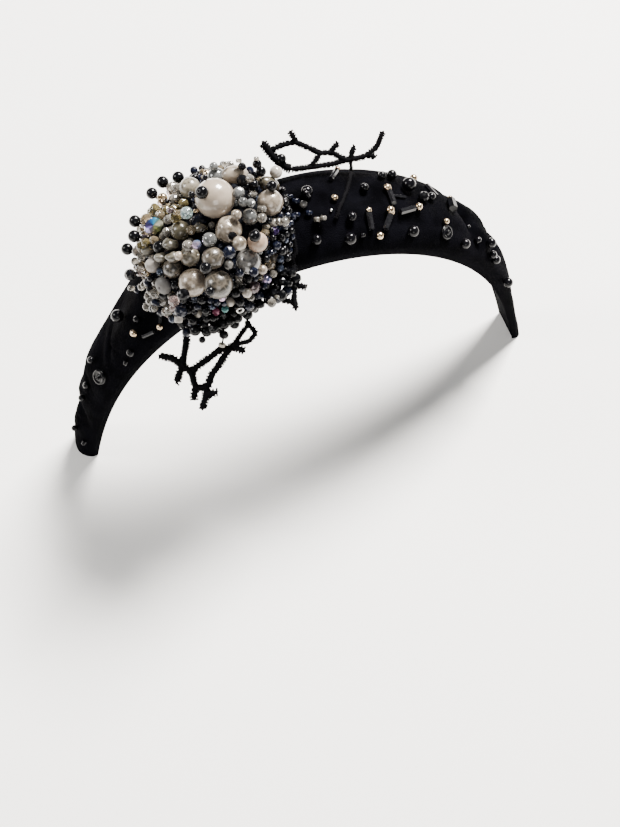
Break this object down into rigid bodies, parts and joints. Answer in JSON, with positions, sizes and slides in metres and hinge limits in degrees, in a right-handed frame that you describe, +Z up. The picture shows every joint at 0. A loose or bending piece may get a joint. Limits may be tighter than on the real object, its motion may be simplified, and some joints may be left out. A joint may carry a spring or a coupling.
{
  "type": "beaded headband",
  "caption": "Padded velvet headband that stands on its two ends, with a domed cluster of glass beads and pearls on one side, black lace twigs and loose beads.",
  "frame": {"origin": "on the surface that the band stands on, below the middle of the whole box", "axes": "+Z up, +X towards the wearer's left, -Y the way the wearer looks"},
  "size_m": [0.1632, 0.0646, 0.1184],
  "materials": {
    "velvet": "velvet pile",
    "black_glass": "polished, opaque",
    "lace": "matt thread",
    "ground": "small dark beads, opaque",
    "ivory": "glossy",
    "pearl_cream": "pearl",
    "pearl_grey": "marbled pearl",
    "crackle": "crackled, milky",
    "glass_cream": "polished, milky",
    "glass_grey": "frosted",
    "glass_olive": "polished, smoky",
    "crystal": "cut, iridescent",
    "navy": "cut, opaque",
    "peach": "satin",
    "gunmetal": "metallic coating, opaque"
  },
  "bodies": {
    "root": {"ab_crystal_left": "crystal", "baroque_pearl": "pearl_cream", "black_bead_front_a": "black_glass", "black_bead_front_b": "black_glass", "black_bead_rear_left": "black_glass", "black_bead_right_a": "black_glass", "black_bead_right_c": "black_glass", "black_bead_right_d": "black_glass", "black_bead_top": "black_glass", "black_crystal_low": "black_glass", "bugle_block": "gunmetal", "bugle_front_a": "gunmetal", "bugle_front_b": "gunmetal", "bugle_mid": "gunmetal", "bugle_rear": "gunmetal", "clear_crystal_mid": "crystal", "cluster_base": "ground", "crackle_ball_left": "crackle", "crackle_ball_low": "crackle", "crackle_ball_mid": "crackle", "cream_glass_left": "glass_cream", "cream_oval_rear": "glass_cream", "cream_pearl_low": "pearl_cream", "cream_pearl_right": "pearl_cream", "cream_quartz_rear": "glass_cream", "frosted_lens": "glass_grey", "grey_glass_rear": "glass_grey", "ivory_ball": "ivory", "lace_twig_front": "lace", "lace_twig_lower": "lace", "lace_twig_upper": "lace", "lentil_bead_left": "black_glass", "lentil_bead_right": "black_glass", "marbled_pearl": "pearl_grey", "navy_crystal": "navy", "off_white_bead": "pearl_cream", "olive_glass_ball": "glass_olive", "peach_ball": "peach", "pin_bead_a": "black_glass", "pin_bead_b": "black_glass", "pin_bead_c": "black_glass", "pin_bead_d": "black_glass", "pin_bead_e": "black_glass", "pin_bead_f": "black_glass", "pin_bead_g": "black_glass", "pin_bead_h": "black_glass", "smoky_oval": "glass_grey", "velvet_band": "velvet", "white_pearl_rear": "pearl_cream"}
  },
  "joints": []
}
